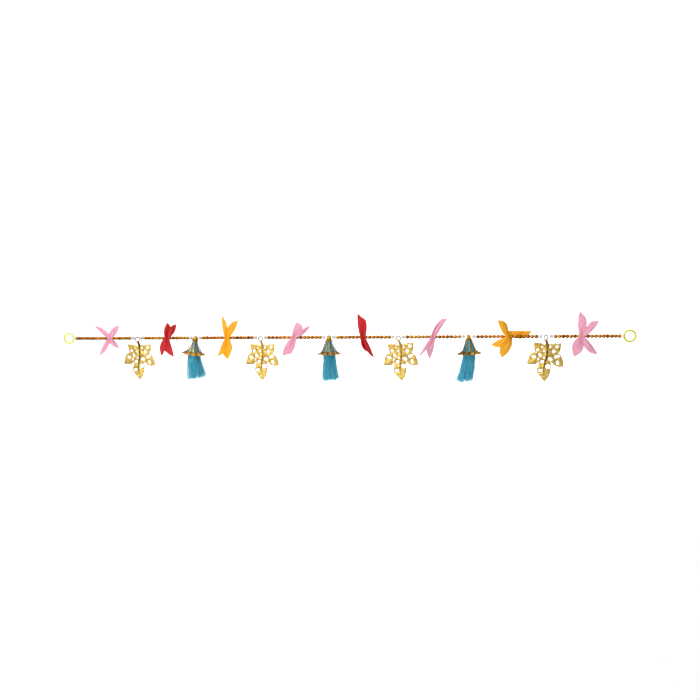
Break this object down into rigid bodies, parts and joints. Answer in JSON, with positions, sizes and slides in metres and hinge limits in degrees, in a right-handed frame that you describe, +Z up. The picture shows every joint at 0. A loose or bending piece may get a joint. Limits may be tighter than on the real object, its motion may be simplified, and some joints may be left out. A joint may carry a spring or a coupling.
{
  "type": "toran door hanging",
  "caption": "Beaded festoon for the top of a doorway: a straight strand of gold beads with pierced leaves, openwork bells with tassels, ribbon bows and an end ring on each side.",
  "frame": {"origin": "middle of the strand, on the axis of its thread", "axes": "+X along the strand to the right as seen from the front, +Y away from the viewer, +Z up"},
  "size_m": [0.9136, 0.0384, 0.1063],
  "materials": {
    "ring_left": "gloss",
    "tie_left": "clear nylon thread",
    "ring_right": "gloss",
    "tie_right": "clear nylon thread",
    "gold_run_01": "gold-plated gloss",
    "gold_run_02": "gold-plated gloss",
    "gold_run_03": "gold-plated gloss",
    "gold_run_04": "gold-plated gloss",
    "gold_run_05": "gold-plated gloss",
    "gold_run_06": "gold-plated gloss",
    "gold_run_07": "gold-plated gloss",
    "gold_run_08": "gold-plated gloss",
    "gold_run_09": "gold-plated gloss",
    "gold_run_10": "gold-plated gloss",
    "gold_run_11": "gold-plated gloss",
    "gold_run_12": "gold-plated gloss",
    "gold_run_13": "gold-plated gloss",
    "gold_run_14": "gold-plated gloss",
    "gold_run_15": "gold-plated gloss",
    "gold_run_16": "gold-plated gloss",
    "clear_bead_01": "clear",
    "clear_bead_02": "clear",
    "clear_bead_03": "clear",
    "clear_bead_04": "clear",
    "clear_bead_05": "clear",
    "clear_bead_06": "clear",
    "clear_bead_07": "clear",
    "clear_bead_08": "clear",
    "clear_bead_09": "clear",
    "clear_bead_10": "clear",
    "clear_bead_11": "clear",
    "clear_bead_12": "clear",
    "clear_bead_13": "clear",
    "clear_bead_14": "clear",
    "thread_1": "clear nylon thread",
    "thread_2": "clear nylon thread",
    "thread_3": "clear nylon thread",
    "thread_4": "clear nylon thread",
    "thread_5": "clear nylon thread",
    "thread_6": "clear nylon thread",
    "thread_7": "clear nylon thread",
    "bow_1": "sheer ribbon",
    "bow_2": "satin ribbon",
    "bow_3": "satin ribbon",
    "bow_4": "sheer ribbon",
    "bow_5": "satin ribbon",
    "bow_6": "sheer ribbon",
    "bow_7": "satin ribbon",
    "bow_8": "sheer ribbon",
    "leaf_1": "mottled gold",
    "leaf_2": "mottled gold",
    "leaf_3": "mottled gold",
    "leaf_4": "mottled gold",
    "bell_1": "satin gold",
    "tassel_1": "silky yarn",
    "bell_2": "satin gold",
    "tassel_2": "silky yarn",
    "bell_3": "satin gold",
    "tassel_3": "silky yarn"
  },
  "bodies": {
    "strand": {"ring_left": "ring_left", "tie_left": "tie_left", "ring_right": "ring_right", "tie_right": "tie_right", "gold_run_01": "gold_run_01", "gold_run_02": "gold_run_02", "gold_run_03": "gold_run_03", "gold_run_04": "gold_run_04", "gold_run_05": "gold_run_05", "gold_run_06": "gold_run_06", "gold_run_07": "gold_run_07", "gold_run_08": "gold_run_08", "gold_run_09": "gold_run_09", "gold_run_10": "gold_run_10", "gold_run_11": "gold_run_11", "gold_run_12": "gold_run_12", "gold_run_13": "gold_run_13", "gold_run_14": "gold_run_14", "gold_run_15": "gold_run_15", "gold_run_16": "gold_run_16", "clear_bead_01": "clear_bead_01", "clear_bead_02": "clear_bead_02", "clear_bead_03": "clear_bead_03", "clear_bead_04": "clear_bead_04", "clear_bead_05": "clear_bead_05", "clear_bead_06": "clear_bead_06", "clear_bead_07": "clear_bead_07", "clear_bead_08": "clear_bead_08", "clear_bead_09": "clear_bead_09", "clear_bead_10": "clear_bead_10", "clear_bead_11": "clear_bead_11", "clear_bead_12": "clear_bead_12", "clear_bead_13": "clear_bead_13", "clear_bead_14": "clear_bead_14", "thread_1": "thread_1", "thread_2": "thread_2", "thread_3": "thread_3", "thread_4": "thread_4", "thread_5": "thread_5", "thread_6": "thread_6", "thread_7": "thread_7", "bow_1": "bow_1", "bow_2": "bow_2", "bow_3": "bow_3", "bow_4": "bow_4", "bow_5": "bow_5", "bow_6": "bow_6", "bow_7": "bow_7", "bow_8": "bow_8"},
    "leaf_1_pendant": {"leaf_1": "leaf_1"},
    "bell_1_pendant": {"bell_1": "bell_1", "tassel_1": "tassel_1"},
    "leaf_2_pendant": {"leaf_2": "leaf_2"},
    "bell_2_pendant": {"bell_2": "bell_2", "tassel_2": "tassel_2"},
    "leaf_3_pendant": {"leaf_3": "leaf_3"},
    "bell_3_pendant": {"bell_3": "bell_3", "tassel_3": "tassel_3"},
    "leaf_4_pendant": {"leaf_4": "leaf_4"}
  },
  "joints": [
    {"name": "leaf_1_swing", "type": "hinge", "parent": "strand", "child": "leaf_1_pendant", "pos_m": [-0.3254, 0, 0], "axis": [1, 0, 0], "range_deg": [-80, 80]},
    {"name": "bell_1_swing", "type": "hinge", "parent": "strand", "child": "bell_1_pendant", "pos_m": [-0.2257, 0, 0], "axis": [1, 0, 0], "range_deg": [-80, 80]},
    {"name": "leaf_2_swing", "type": "hinge", "parent": "strand", "child": "leaf_2_pendant", "pos_m": [-0.1167, 0, 0], "axis": [1, 0, 0], "range_deg": [-80, 80]},
    {"name": "bell_2_swing", "type": "hinge", "parent": "strand", "child": "bell_2_pendant", "pos_m": [-0.0054, 0, 0], "axis": [1, 0, 0], "range_deg": [-80, 80]},
    {"name": "leaf_3_swing", "type": "hinge", "parent": "strand", "child": "leaf_3_pendant", "pos_m": [0.1041, 0, 0], "axis": [1, 0, 0], "range_deg": [-80, 80]},
    {"name": "bell_3_swing", "type": "hinge", "parent": "strand", "child": "bell_3_pendant", "pos_m": [0.2117, 0, 0], "axis": [1, 0, 0], "range_deg": [-80, 80]},
    {"name": "leaf_4_swing", "type": "hinge", "parent": "strand", "child": "leaf_4_pendant", "pos_m": [0.3266, 0, 0], "axis": [1, 0, 0], "range_deg": [-80, 80]}
  ]
}
